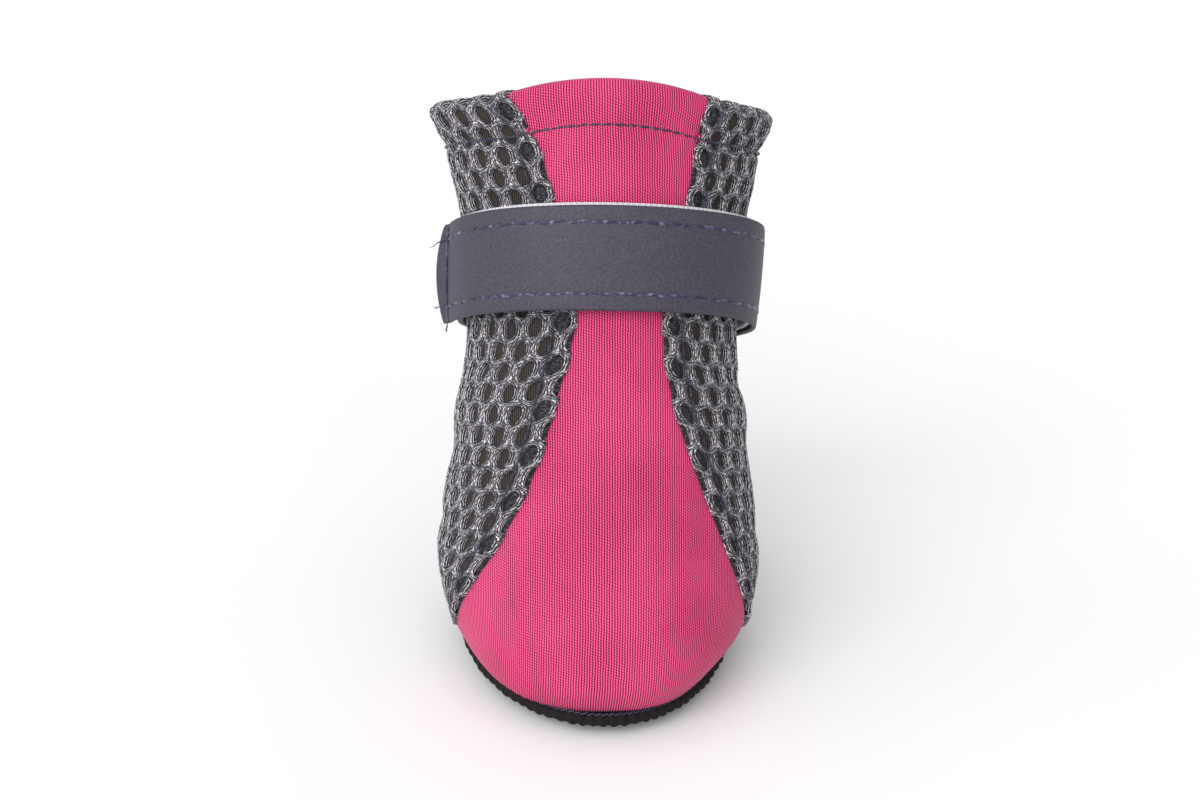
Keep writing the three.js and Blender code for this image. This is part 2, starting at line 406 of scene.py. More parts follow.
class Tree:
    # A helper round a node tree, so that each material reads as a short recipe
    def __init__(self, tree):
        self.tree = tree

    def add(self, kind, **settings):
        node = self.tree.nodes.new(kind)
        for key, value in settings.items():
            setattr(node, key, value)
        return node

    def feed(self, socket, value):
        if isinstance(value, bpy.types.NodeSocket):
            self.tree.links.new(value, socket)
        else:
            socket.default_value = value

    def sum(self, operation, first, second=0.0):
        node = self.add("ShaderNodeMath", operation=operation)
        self.feed(node.inputs[0], first)
        self.feed(node.inputs[1], second)
        return node.outputs[0]

    def mix(self, share, first, second):
        node = self.add("ShaderNodeMix", data_type="RGBA")
        self.feed(node.inputs[0], share)
        self.feed(node.inputs[6], first)
        self.feed(node.inputs[7], second)
        return node.outputs[2]

    def spread(self, value, low, high, outLow=0.0, outHigh=1.0):
        node = self.add("ShaderNodeMapRange", interpolation_type="SMOOTHSTEP")
        for socket, number in zip(node.inputs, (value, low, high, outLow, outHigh)):
            self.feed(socket, number)
        return node.outputs[0]

    def noise(self, vector, scale, detail=2.0, roughness=0.5):
        node = self.add("ShaderNodeTexNoise")
        self.feed(node.inputs["Vector"], vector)
        node.inputs["Scale"].default_value = scale
        node.inputs["Detail"].default_value = detail
        node.inputs["Roughness"].default_value = roughness
        return node.outputs["Fac"]

    def stretched(self, vector, scale):
        node = self.add("ShaderNodeMapping")
        self.feed(node.inputs["Vector"], vector)
        node.inputs["Scale"].default_value = scale
        return node.outputs["Vector"]

    def group(self, group, **values):
        node = self.add("ShaderNodeGroup", node_tree=group)
        for title, value in values.items():
            self.feed(node.inputs[title], value)
        return node


def newGroup(name, inputs, outputs):
    group = bpy.data.node_groups.new(name, "ShaderNodeTree")
    for title, kind, value in inputs:
        socket = group.interface.new_socket(title, in_out="INPUT", socket_type=kind)
        if value is not None:
            socket.default_value = value
    for title in outputs:
        group.interface.new_socket(title, in_out="OUTPUT", socket_type="NodeSocketFloat")
    tree = Tree(group)
    return group, tree, tree.add("NodeGroupInput").outputs, tree.add("NodeGroupOutput").inputs


# Rows of knitted loops: wales run up the cloth, courses across it
def makeLoopRows():
    inputs = (
        ("Cloth", "NodeSocketVector", None),
        ("Place", "NodeSocketVector", None),
        ("Wale", "NodeSocketFloat", 0.5),
        ("Course", "NodeSocketFloat", 0.5),
        ("Wander", "NodeSocketFloat", 0.1),
    )
    group, tree, given, result = newGroup("loopRows", inputs, ("Light", "Height"))
    parts = tree.add("ShaderNodeSeparateXYZ")
    tree.feed(parts.inputs[0], given["Cloth"])
    drift = tree.sum("SUBTRACT", tree.noise(given["Place"], 330, 3, 0.6), 0.5)
    drift = tree.sum("MULTIPLY", drift, given["Wander"])
    along = tree.sum("DIVIDE", tree.sum("ADD", parts.outputs[0], drift), given["Wale"])
    down = tree.sum("DIVIDE", tree.sum("ADD", parts.outputs[1], drift), given["Course"])
    wale = tree.sum("MULTIPLY", tree.sum("PINGPONG", along, 0.5), 2)
    stagger = tree.sum("MULTIPLY", along, 0.32)  # the loops lean, so courses climb across the wales
    course = tree.sum("MULTIPLY", tree.sum("PINGPONG", tree.sum("ADD", down, stagger), 0.5), 2)
    loop = tree.sum("MULTIPLY", wale, tree.spread(course, 0.1, 0.8, 0.58, 1))
    tree.feed(result["Light"], loop)
    height = tree.sum("ADD", tree.sum("MULTIPLY", wale, 0.7), tree.sum("MULTIPLY", loop, 0.3))
    tree.feed(result["Height"], height)
    return group


# Fine uneven grain, as on tape, rubber and thread; on thread its mask places the painted highlights
def makeGrain():
    inputs = (
        ("Place", "NodeSocketVector", None),
        ("Coarse", "NodeSocketFloat", 400.0),
        ("Fine", "NodeSocketFloat", 2500.0),
    )
    group, tree, given, result = newGroup("grain", inputs, ("Mask", "Height"))
    coarse, fine = (tree.add("ShaderNodeTexNoise") for _ in range(2))
    for node, scale in ((coarse, "Coarse"), (fine, "Fine")):
        tree.feed(node.inputs["Vector"], given["Place"])
        tree.feed(node.inputs["Scale"], given[scale])
        node.inputs["Detail"].default_value = 2
    tree.feed(result["Mask"], coarse.outputs["Fac"])
    low, high = (tree.sum("MULTIPLY", node.outputs["Fac"], 0.5) for node in (coarse, fine))
    tree.feed(result["Height"], tree.sum("ADD", low, high))
    return group


# Bundles of thin filaments that run along a strut, and short dashes along them, which place the mesh's
# painted highlights
def makeFilaments():
    inputs = (
        ("Cloth", "NodeSocketVector", None),
        ("Place", "NodeSocketVector", None),
        ("Pitch", "NodeSocketFloat", 0.3),
        ("Wander", "NodeSocketFloat", 0.5),
    )
    group, tree, given, result = newGroup("filaments", inputs, ("Strand", "Dash"))
    parts = tree.add("ShaderNodeSeparateXYZ")
    tree.feed(parts.inputs[0], given["Cloth"])
    drift = tree.sum("SUBTRACT", tree.noise(given["Place"], 1100, 1.5), 0.5)
    across = tree.sum("ADD", parts.outputs[1], tree.sum("MULTIPLY", drift, given["Wander"]))
    strand = tree.sum("PINGPONG", tree.sum("DIVIDE", across, given["Pitch"]), 0.5)
    strand = tree.sum("SUBTRACT", 1, tree.sum("MULTIPLY", strand, 2))
    dash = tree.noise(tree.stretched(given["Cloth"], (0.9, 6.2, 1)), 1.0, 2, 0.65)
    speck = tree.noise(given["Place"], 3600, 1)
    dash = tree.sum("ADD", tree.sum("MULTIPLY", dash, 0.72), tree.sum("MULTIPLY", speck, 0.28))
    tree.feed(result["Strand"], strand)
    tree.feed(result["Dash"], dash)
    return group


loopRows, grain, filaments = makeLoopRows(), makeGrain(), makeFilaments()


class Finish(Tree):
    def __init__(self, name, roughness, sheen=0.0):
        self.material = bpy.data.materials.new(name)
        self.material.use_nodes = True
        super().__init__(self.material.node_tree)
        self.shader = self.tree.nodes["Principled BSDF"]
        self.shader.inputs["Roughness"].default_value = roughness
        self.shader.inputs["Sheen Weight"].default_value = sheen
        self.shader.inputs["Sheen Roughness"].default_value = 0.4
        self.coordinates = self.add("ShaderNodeTexCoord")
        self.place = self.coordinates.outputs["Object"]
        self.cloth = self.coordinates.outputs["UV"]

    def rows(self, wale, course, wander):
        knit = {"Wale": wale, "Course": course, "Wander": wander}
        return self.group(loopRows, Cloth=self.cloth, Place=self.place, **knit)

    def strands(self, pitch, wander):
        return self.group(filaments, Cloth=self.cloth, Place=self.place, Pitch=pitch, Wander=wander)

    def spots(self, coarse, fine):
        return self.group(grain, Place=self.place, Coarse=coarse, Fine=fine)

    def color(self, value):
        self.feed(self.shader.inputs["Base Color"], value)

    def colorBetween(self, share, dark, light):
        self.color(self.mix(share, paint(dark), paint(light)))

    def bump(self, height, distance, strength=1.0):
        node = self.add("ShaderNodeBump")
        node.inputs["Distance"].default_value = distance * mm
        node.inputs["Strength"].default_value = strength
        self.feed(node.inputs["Height"], height)
        self.feed(self.shader.inputs["Normal"], node.outputs["Normal"])

    def attribute(self, name):
        return self.add("ShaderNodeAttribute", attribute_name=name).outputs["Fac"]


# The front panel's knit: the middle colour is its own pink, the dark colour is painted shade in the
# grooves between the wales, and the light colour is a painted highlight on the loops
stretchLook = {
    "light": "#ff6fa2",
    "middle": "#d63a71",
    "dark": "#6a082e",
    "wale": 0.5,
    "course": 0.54,
    "wander": 0.4,
}


def makeStretchFinish():
    finish = Finish("stretch cloth", 0.78, 0.1)
    finish.shader.inputs["Specular IOR Level"].default_value = 0.3
    rows = finish.rows(stretchLook["wale"], stretchLook["course"], stretchLook["wander"])
    cloud = finish.spread(finish.noise(finish.place, 60, 3), 0.3, 0.7, -0.05, 0.05)
    lit = finish.sum("ADD", rows.outputs["Light"], cloud)
    # Painted shade in the grooves between the wales, then painted highlights on the tops of the loops
    low = finish.spread(lit, 0.14, 0.54)
    color = finish.mix(low, paint(stretchLook["dark"]), paint(stretchLook["middle"]))
    finish.color(finish.mix(finish.spread(lit, 0.55, 0.92), color, paint(stretchLook["light"])))
    finish.bump(rows.outputs["Height"], 0.12, 0.5)
    return finish.material


# Gap is painted shade between the filaments, bright is a painted highlight on them, and groove is
# painted shade in the groove beside the seam
meshLook = {
    "gap": "#0f0d13",
    "strand": "#403b44",
    "bright": "#dedae2",
    "groove": "#1b1a2c",
    "hole": "#0e0b0c",
    "holeRib": "#413a38",
    "strip": "#6f6c78",
}


def makeMeshFinish():
    finish = Finish("spacer mesh strands", 0.55, 0.15)
    strands = finish.strands(0.52, 0.45)
    strand, dash = strands.outputs["Strand"], strands.outputs["Dash"]
    # Painted shade: the gap colour lies between the filaments of each strand
    full = finish.spread(strand, 0.25, 0.65)
    color = finish.mix(full, paint(meshLook["gap"]), paint(meshLook["strand"]))
    # Painted highlights: short bright dashes along the middle of the filaments
    bright = finish.sum("MULTIPLY", finish.spread(dash, 0.485, 0.54), finish.spread(strand, 0.4, 0.7))
    color = finish.mix(bright, color, paint(meshLook["bright"]))
    # Painted shade in the groove beside the seam
    groove = finish.sum("MULTIPLY", finish.attribute("groove"), 0.8)
    finish.color(finish.mix(groove, color, paint(meshLook["groove"])))
    finish.bump(strand, 0.2, 0.7)
    return finish.material


def makeLiningFinish():
    finish = Finish("spacer mesh back", 0.9)
    rows = finish.rows(0.55, 0.8, 0.4)
    rib = finish.spread(rows.outputs["Light"], 0.1, 0.6)
    color = finish.mix(rib, paint(meshLook["hole"]), paint(meshLook["holeRib"]))
    # On the turned edge, strands in the strip colour with the gap colour's painted shade between them
    bright = finish.spread(finish.strands(0.4, 0.8).outputs["Dash"], 0.5, 0.66)
    doubled = finish.mix(bright, paint(meshLook["gap"]), paint(meshLook["strip"]))
    finish.color(finish.mix(finish.attribute("doubled"), color, doubled))
    finish.bump(rows.outputs["Height"], 0.2, 0.6)
    return finish.material


tapeLook = {
    "face": "#393640",
    "faceLight": "#4a4753",
    "hook": "#dcdade",
    "hookDark": "#bdbbc2",
    "loop": "#27252d",
    "loopDark": "#17161c",
}


def makeReflectiveFinish():
    finish = Finish("reflective tape", 0.5)
    finish.shader.inputs["Specular IOR Level"].default_value = 0.25
    spots = finish.spots(2600, 6000)
    mask = finish.spread(spots.outputs["Mask"], 0.3, 0.7)
    finish.colorBetween(mask, tapeLook["face"], tapeLook["faceLight"])
    finish.bump(spots.outputs["Height"], 0.05, 0.4)
    return finish.material


def makeHookFinish():
    finish = Finish("hook tape", 0.45)
    rows = finish.rows(1.1, 0.9, 0.1)
    finish.colorBetween(rows.outputs["Light"], tapeLook["hookDark"], tapeLook["hook"])
    finish.bump(rows.outputs["Height"], 0.2, 0.5)
    return finish.material


def makeLoopFinish():
    finish = Finish("loop tape", 0.95, 0.3)
    spots = finish.spots(700, 2200)
    finish.colorBetween(spots.outputs["Mask"], tapeLook["loopDark"], tapeLook["loop"])
    finish.bump(spots.outputs["Height"], 0.4, 0.8)
    return finish.material


threadLook = {"dark": "#1d1c38", "shine": "#74759a"}


def makeThreadFinish(name, shineFrom, coarse=1500):
    finish = Finish(name, 0.45, 0.2)
    spots = finish.spots(coarse, 4000)
    # The shine colour is a painted highlight, laid in patches where the grain's mask is high
    shine = finish.spread(spots.outputs["Mask"], shineFrom, shineFrom + 0.2, 0, 0.85)
    finish.colorBetween(shine, threadLook["dark"], threadLook["shine"])
    finish.bump(spots.outputs["Height"], 0.12, 0.6)
    return finish.material


rubberLook = {"dark": "#050304", "light": "#140e12"}


def makeRubberFinish():
    finish = Finish("sole rubber", 0.8)
    finish.shader.inputs["Specular IOR Level"].default_value = 0.3
    spots = finish.spots(350, 1800)
    finish.colorBetween(spots.outputs["Mask"], rubberLook["dark"], rubberLook["light"])
    finish.bump(spots.outputs["Height"], 0.15, 0.5)
    return finish.material


insoleLook = {"dark": "#2c2c31", "light": "#4a4a52"}


def makeInsoleFinish():
    finish = Finish("insole cloth", 0.9)
    rows = finish.rows(0.7, 0.7, 0.1)
    finish.colorBetween(rows.outputs["Light"], insoleLook["dark"], insoleLook["light"])
    finish.bump(rows.outputs["Height"], 0.15, 0.5)
    return finish.material


finishes = {
    "stretch_front": makeStretchFinish(),
    "spacer_mesh": makeMeshFinish(),
    "lining": makeLiningFinish(),
    "reflective_tape": makeReflectiveFinish(),
    "hook_tape": makeHookFinish(),
    "loop_tape": makeLoopFinish(),
    # One thread in three copies with more or less painted highlight: most on the tape, less on the
    # panel, almost none in the sole seam
    "thread": makeThreadFinish("thread", 0.56),
    "litThread": makeThreadFinish("thread on tape", 0.48, 800),
    "darkThread": makeThreadFinish("thread in the sole seam", 0.95),
    "sole_rubber": makeRubberFinish(),
    "insole_fabric": makeInsoleFinish(),
}
print("materials ready")


# Turns a finished bmesh, in millimetres, into a piece that rides on the boot
def addPiece(name, bm, finish, nodes=(), thickness=0.0):
    bmesh.ops.scale(bm, vec=(mm, mm, mm), verts=bm.verts)
    mesh = bpy.data.meshes.new(name)
    bm.to_mesh(mesh)
    bm.free()
    mesh.shade_smooth()
    mesh.materials.append(finishes[finish])
    piece = bpy.data.objects.new(name, mesh)
    bpy.context.scene.collection.objects.link(piece)
    if thickness:
        wall = piece.modifiers.new("thickness", "SOLIDIFY")
        wall.thickness, wall.offset = thickness * mm, -1
    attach(piece, "root")
    if nodes:
        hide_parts(*nodes)
    print(f"{name}: {len(mesh.polygons)} faces")
    return piece


# A flat grid laid out by a function from shares along it and up it to points and cloth
# millimetres. Edges that meet are merged.
def mappedGrid(columns, rows, layOut, marks=None):
    bm = bmesh.new()
    bmesh.ops.create_grid(bm, x_segments=columns, y_segments=rows, size=0.5)
    flat = np.array([v.co for v in bm.verts])
    across, up = flat[:, 0] + 0.5, flat[:, 1] + 0.5
    points, cloth = layOut(across, up)
    uvLayer = bm.loops.layers.uv.new("UVMap")
    for vert, point in zip(bm.verts, points):
        vert.co = point
    bm.verts.index_update()
    for face in bm.faces:
        for loop in face.loops:
            loop[uvLayer].uv = cloth[loop.vert.index]
    if marks:
        layer = bm.verts.layers.float.new(marks[0])
        for vert, value in zip(bm.verts, marks[1](across, up)):
            vert[layer] = value
    bmesh.ops.remove_doubles(bm, verts=bm.verts, dist=1e-4)
    bmesh.ops.dissolve_degenerate(bm, edges=bm.edges, dist=1e-5)
    return bm


# The edge of the mesh is turned under and laid over the front panel, with a stitched groove
seamStrip = {
    "rollRadius": 0.8,
    "height": 1.1,
    "groove": 4.9,
    "puff": 0.3,
    "overlap": 3.4,
    "pinch": 0.9,  # how far the hem's stitches pull it flat, and over what width
    "pinchHalfWidth": 1.6,
}
rollShift = seamStrip["rollRadius"] * (math.pi / 2 - 1)


# The strip is narrower and flatter towards the sole, and flatter at the collar
def stripWidth(level):
    return 0.62 + 0.38 * ease(level, 0.02, 0.3)


def stripFullness(level, over):
    atSole = 0.2 + 0.8 * ease(level, 0.02, 0.25)
    atCollar = 1 - 0.5 * ease(level, 0.9, 0.98)
    return atSole * atCollar * (1 - 0.7 * over)


# Height of the mesh's face over the upper's face, by the distance in from its turned edge
def stripHeight(distance, level, over, drop):
    groove = seamStrip["groove"]
    fullness = stripFullness(level, over)
    distance = distance / stripWidth(level)
    strip = seamStrip["height"] * fullness * (1 - ease(distance, 0.45 * groove, groove))
    puff = seamStrip["puff"] * fullness * bell(distance - 1.5 * groove, 0.35 * groove)
    pinched = bell(drop - upper["hemStitchDrop"], seamStrip["pinchHalfWidth"]) * (1 - over)
    return (strip + puff) * (1 - seamStrip["pinch"] * pinched)


# The front panel, which reaches a little way under the mesh on both sides
panel = {
    "thickness": 0.85,
    "columns": 130,
    "rows": 210,
    "proud": 0.05,
    "underMesh": 0.9,  # how deep it lies where the mesh covers it
    "underSole": 0.3,
    "pucker": 0.08,  # the hem's stitches gather it a little
    "puckerPitch": 2.3,
    "puckerHalfWidth": 2.2,
}


def layFrontPanel(across, up):
    longest = dropTable[0].max()
    drop = longest - up * (longest + crownLength + upper["hemInside"])
    inside, over = dropToPlace(drop)
    level, turn = placeOnFace(np.where(across < 0.5, -1, 1), lambda level: 0 * level, inside)
    for _ in range(6):
        leftEdge = seamGirth(level, -1) - seamStrip["overlap"]
        rightEdge = seamGirth(level, 1) + seamStrip["overlap"]
        turn = nearerTurn(leftEdge + (rightEdge - leftEdge) * across, level, turn)
        level = np.clip(nearerLevel(inside, level, turn), 0, 1)
    girth = girthOf(level, turn)
    leftGap, rightGap = girth - seamGirth(level, -1), seamGirth(level, 1) - girth
    under = 1 - ease(np.minimum(leftGap, rightGap), -1.4, 0.2)
    nearHem = bell(dropOf(level, turn) - upper["hemStitchDrop"], panel["puckerHalfWidth"])
    pucker = np.sin(girth * 2 * math.pi / panel["puckerPitch"]) * nearHem
    lift = panel["proud"] - panel["underMesh"] * under
    lift = lift - panel["underSole"] * (1 - ease(level, 0, 0.04)) + panel["pucker"] * pucker
    return clothPoint(level, turn, over, lift), np.stack([girth, -drop], -1)


frontPanel = mappedGrid(panel["columns"], panel["rows"], layFrontPanel)
addPiece("frontPanel", frontPanel, "stretch_front", (), panel["thickness"])

# The open mesh: a honeycomb of round-cornered holes, laid flat first and then wrapped from
# the right seam round the back to the left seam
meshCell = {
    "width": 5.9,
    "rowPitch": 4.2,
    "holeWidth": 3.75,
    "holeHeight": 4.1,
    "segments": 24,
    "columns": 13,
    "rows": 34,
    "strayAcross": 0.045,  # the threads never lie quite true
    "strayOut": 0.035,
    "edgeDepth": 0.55,  # how deep the struts reach in the turned edge, and elsewhere
    "depth": 2,
    "edgeWidth": 1.6,
    "mostTurned": 2.9,  # the edge is rolled in by this angle at most
}
# Rings of a cell from the middle of its struts to the hole: share of the way, and height
cellRings = (
    (0.0, 0.24),
    (0.2, 0.08),
    (0.4, 0.26),
    (0.6, 0.08),
    (0.82, 0.24),
    (1.0, 0.1),
    (1.06, -0.4),
    (0.98, -1.15),
)


def makeFlatCell():
    bm = bmesh.new()
    uvLayer = bm.loops.layers.uv.new("UVMap")
    corner = meshCell["rowPitch"] * 2 / 3
    verts = bmesh.ops.create_circle(bm, segments=meshCell["segments"], radius=1)["verts"]
    strutHalf = (meshCell["width"] - meshCell["holeWidth"]) / 2
    widened = meshCell["width"] / (corner * math.sqrt(3))

    def ringSpot(vert, share, height):
        angle = math.atan2(vert.co.y, vert.co.x)
        fromCorner = (angle - math.pi / 2) % (math.pi / 3) - math.pi / 6
        reach = corner * math.cos(math.pi / 6) / math.cos(fromCorner)
        cosine, sine = math.cos(angle), math.sin(angle)
        outer = Vector((cosine * reach * widened, sine * reach))
        hole = Vector((cosine * meshCell["holeWidth"] / 2, sine * meshCell["holeHeight"] / 2))
        spot = outer.lerp(hole, share)
        return Vector((spot.x, spot.y, height))

    ring = bm.edges[:]
    distances = {}
    for number, (share, height) in enumerate(cellRings):
        if number:
            grown = bmesh.ops.extrude_edge_only(bm, edges=ring)["geom"]
            ring = [item for item in grown if isinstance(item, bmesh.types.BMEdge)]
            verts = [item for item in grown if isinstance(item, bmesh.types.BMVert)]
            ring = [edge for edge in ring if edge.verts[0] in verts and edge.verts[1] in verts]
        for vert in verts:
            vert.co = ringSpot(vert, share, height)
            distances[vert] = min(share, 1) * strutHalf + (0.1 - height if number > 5 else 0)
    for face in bm.faces:
        angles = [math.atan2(loop.vert.co.y, loop.vert.co.x) for loop in face.loops]
        wraps = max(angles) - min(angles) > math.pi
        for loop, angle in zip(face.loops, angles):
            angle += 2 * math.pi if wraps and angle < 0 else 0
            loop[uvLayer].uv = (angle * corner * 0.9, distances[loop.vert])
    if sum(face.normal.z for face in bm.faces) < 0:
        bmesh.ops.reverse_faces(bm, faces=bm.faces)
    return bm


def repeatAll(bm, count, step):
    geometry = bm.verts[:] + bm.edges[:] + bm.faces[:]
    for number in range(1, count):
        grown = bmesh.ops.duplicate(bm, geom=geometry)["geom"]
        verts = [item for item in grown if isinstance(item, bmesh.types.BMVert)]
        bmesh.ops.translate(bm, verts=verts, vec=Vector(step) * number)


def makeFlatNet(firstColumn):
    bm = makeFlatCell()
    width, pitch = meshCell["width"], meshCell["rowPitch"]
    start = crownLength + upper["hemInside"]
    bmesh.ops.translate(bm, verts=bm.verts, vec=(firstColumn * width, start, 0))
    repeatAll(bm, meshCell["columns"] + 1, (width, 0, 0))
    repeatAll(bm, 2, (width / 2, -pitch, 0))
    repeatAll(bm, meshCell["rows"] // 2, (0, -2 * pitch, 0))
    bmesh.ops.remove_doubles(bm, verts=bm.verts, dist=0.01)
    return bm


def wrapNet(bm):
    flat = np.array([v.co for v in bm.verts])
    flat[:, :2] += randomNumbers.normal(0, meshCell["strayAcross"], (len(flat), 2))
    flat[:, 2] += randomNumbers.normal(0, meshCell["strayOut"], len(flat))
    columns, width, roll = meshCell["columns"], meshCell["width"], seamStrip["rollRadius"]
    column = flat[:, 0] / width
    side = np.where(column <= columns, 1, -1)
    column = np.where(side > 0, column, 2 * columns - column)
    drop, relief = -flat[:, 1], flat[:, 2]
    inside, over = dropToPlace(drop)

    def clothDistance(level):
        spare = sideGirth(level, side) + rollShift - width * columns
        return width * column + spare * np.clip(column / columns, 0, 1) ** 2

    def bend(distance):
        return np.clip((roll * math.pi / 2 - distance) / roll, 0, meshCell["mostTurned"])

    def keptRelief(distance):
        depth = np.where(distance < meshCell["edgeWidth"], meshCell["edgeDepth"], meshCell["depth"])
        return np.maximum(relief, -depth)

    def across(level):
        distance = clothDistance(level)
        rolled = (roll + keptRelief(distance)) * np.sin(bend(distance))
        return np.maximum(distance - roll * math.pi / 2, 0) + roll - rolled

    level, turn = placeOnFace(side, across, inside)
    distance = clothDistance(level)
    angle = bend(distance)
    rolled = (roll + keptRelief(distance)) * np.cos(angle)
    height = stripHeight(distance, level, over, inside) - roll + rolled
    points = clothPoint(level, turn, over, height)
    beyond = drop - dropOf(np.zeros_like(turn), turn)
    hidden = (angle >= meshCell["mostTurned"] - 0.05) | (beyond > 0.4)
    # How much painted shade the mesh gets in the groove beside the seam, and none on the crown or
    # inside
    groove = bell(distance - seamStrip["groove"], 0.8) * (1 - over)
    layer = bm.verts.layers.float.new("groove")
    for vert, point, mark in zip(bm.verts, points, groove):
        vert.co = point
        vert[layer] = mark
    bm.verts.index_update()
    gone = [face for face in bm.faces if all(hidden[v.index] for v in face.verts)]
    bmesh.ops.delete(bm, geom=gone, context="FACES")
    bmesh.ops.dissolve_degenerate(bm, edges=bm.edges, dist=1e-3)
    return bm


for netName, firstColumn in (("sideMeshRight", -0.5), ("sideMeshLeft", meshCell["columns"] + 0.5)):
    addPiece(netName, wrapNet(makeFlatNet(firstColumn)), "spacer_mesh")


# The close-knit back of the mesh, which also lines the boot. Its columns keep to the seams.
lining = {
    "depth": 0.95,
    "underPanel": 1.0,  # how far it reaches past the seam under the front panel
    "sideColumns": 90,
    "frontColumns": 24,
    "rows": 100,
    "crownRows": 10,
    "innerRows": 60,
}
liningColumns = 2 * lining["sideColumns"] + lining["frontColumns"]
liningRows = lining["rows"] + lining["crownRows"] + lining["innerRows"] + 1


def liningPlaces(across, up):
    sideColumns, frontColumns = lining["sideColumns"], lining["frontColumns"]
    index = np.rint(across * liningColumns)
    # From the back centre line by the left side, the front and the right side
    side = np.where(index < sideColumns + frontColumns / 2, -1, 1)
    fromSeam = np.where(side < 0, sideColumns - index, index - sideColumns - frontColumns)
    share = np.clip(fromSeam / sideColumns, 0, 1)
    frontShare = np.clip((index - sideColumns) / frontColumns, 0, 1)
    rows, crownRows, innerRows = lining["rows"], lining["crownRows"], lining["innerRows"]
    row = np.rint(up * liningRows)
    inward = np.where(row <= rows + crownRows, 1, 1 - (row - rows - crownRows) / innerRows)
    closing = row > rows + crownRows + innerRows
    level = np.where(closing, 0, np.where(row <= rows, row / rows, inward))
    over = np.where(closing, 0, np.clip((row - rows) / crownRows, 0, 1))
    past = lining["underPanel"]
    distance = -past + (sideGirth(level, side) + past) * (0.35 * share + 0.65 * share**2)
    panelLeft, panelRight = seamGirth(level, -1) + past, seamGirth(level, 1) - past
    sideways = seamGirth(level, side) + side * distance
    girth = np.where(fromSeam >= 0, sideways, panelLeft + (panelRight - panelLeft) * frontShare)
    turn = side * 0.2 + 0 * level
    for _ in range(14):
        turn = np.clip(nearerTurn(girth, level, turn), -0.5, 0.5)
    return level, turn, over, np.where(fromSeam >= 0, distance, -2)


def layLining(across, up):
    level, turn, over, distance = liningPlaces(across, up)
    drop = dropOf(level, turn)
    raised = ease(distance, -0.6, 0.9) * stripHeight(np.maximum(distance, 0), level, over, drop)
    # Inside the boot it lies deep only as far down as the hem's turned edge covers it
    hemEnd = upper["hemInside"]
    buried = np.where(over < 1, 1, 1 - ease(drop, hemEnd + 0.2, hemEnd + 1.6))
    lift = raised - lining["depth"] * buried
    return clothPoint(level, turn, over, lift), np.stack([girthOf(level, turn), -drop], -1)


# Where the mesh is turned under, its edge is seen through the holes
def markDoubled(across, up):
    distance = liningPlaces(across, up)[-1]
    return ease(distance, -0.8, 0) * (1 - ease(distance, 3.6, 4.8))


liningMesh = mappedGrid(liningColumns, liningRows, layLining, ("doubled", markDoubled))
addPiece("lining", liningMesh, "lining", ("upper",))


# Stitches: short rods of thread that lie along a line and dip at both ends
def addStitches(bm, points, outs, length, radius, slant=0.0):
    for number in range(len(points) - 1):
        along = Vector(points[number + 1] - points[number])
        middle = Vector((points[number + 1] + points[number]) / 2)
        out = Vector((outs[number] + outs[number + 1]) / 2).normalized()
        along.normalize()
        across = out.cross(along).normalized()
        lean = slant + random.gauss(0, 0.05)
        along = (along * math.cos(lean) + across * math.sin(lean)).normalized()
        across = out.cross(along).normalized()
        size = radius * random.uniform(0.9, 1.1)
        turned = Matrix((along, across, out)).transposed().to_4x4()
        stretch = Matrix.Diagonal((length / 2 * random.uniform(0.94, 1.04), size, size * 0.8, 1))
        place = Matrix.Translation(middle) @ turned @ stretch @ Matrix.Rotation(math.pi / 2, 4, "Y")
        bmesh.ops.create_uvsphere(bm, u_segments=10, v_segments=6, radius=1, matrix=place)


# Length from the first of a line of points to each of them
def lengthsAlong(points):
    steps = np.linalg.norm(np.diff(points, axis=0), axis=1)
    return np.concatenate([[0], np.cumsum(steps)])


# Points a set distance apart along a dense line of points
def evenPoints(points, pitch):
    lengths = lengthsAlong(points)
    wanted = np.linspace(0, lengths[-1], max(2, round(lengths[-1] / pitch) + 1))
    return np.stack([np.interp(wanted, lengths, points[:, k]) for k in range(3)], -1)


# The rows of a long list that fall evenly through it
def evenRows(rows, count):
    return rows[np.linspace(0, len(rows) - 1, count).astype(int)]


hemThread = {
    "pitch": 2.4,
    "length": 2.5,
    "radius": 0.22,
    "lift": 0.16,
    "meshLift": 0.55,  # how much higher it lies where it crosses the mesh
    "slant": 0.06,
    "unsewn": 3,  # the row starts and ends this many stitches apart, at the back
}
seamThread = {"pitch": 2.6, "length": 2.2, "radius": 0.22, "lift": 0.3, "top": 1.5, "lowest": 124}


def addHemStitches(bm):
    turns = np.linspace(-0.5, 0.5, 600)
    level = 1 - upper["hemStitchDrop"] / upper["roughDrop"] + 0 * turns
    for _ in range(8):
        level = nearerLevel(upper["hemStitchDrop"], level, turns)
    leftSeam, rightSeam = seamTurn(level, -1), seamTurn(level, 1)
    fromLeft = ease(turns, leftSeam - 0.004, leftSeam)
    onMesh = 1 - fromLeft * (1 - ease(turns, rightSeam, rightSeam + 0.004))
    lift = hemThread["lift"] + hemThread["meshLift"] * onMesh
    spots = evenPoints(clothPoint(level, turns, 0 * turns, lift), hemThread["pitch"])
    spots = spots[: -hemThread["unsewn"]]
    outs = evenRows(outward(level, turns), len(spots))
    addStitches(bm, spots, outs, hemThread["length"], hemThread["radius"], hemThread["slant"])


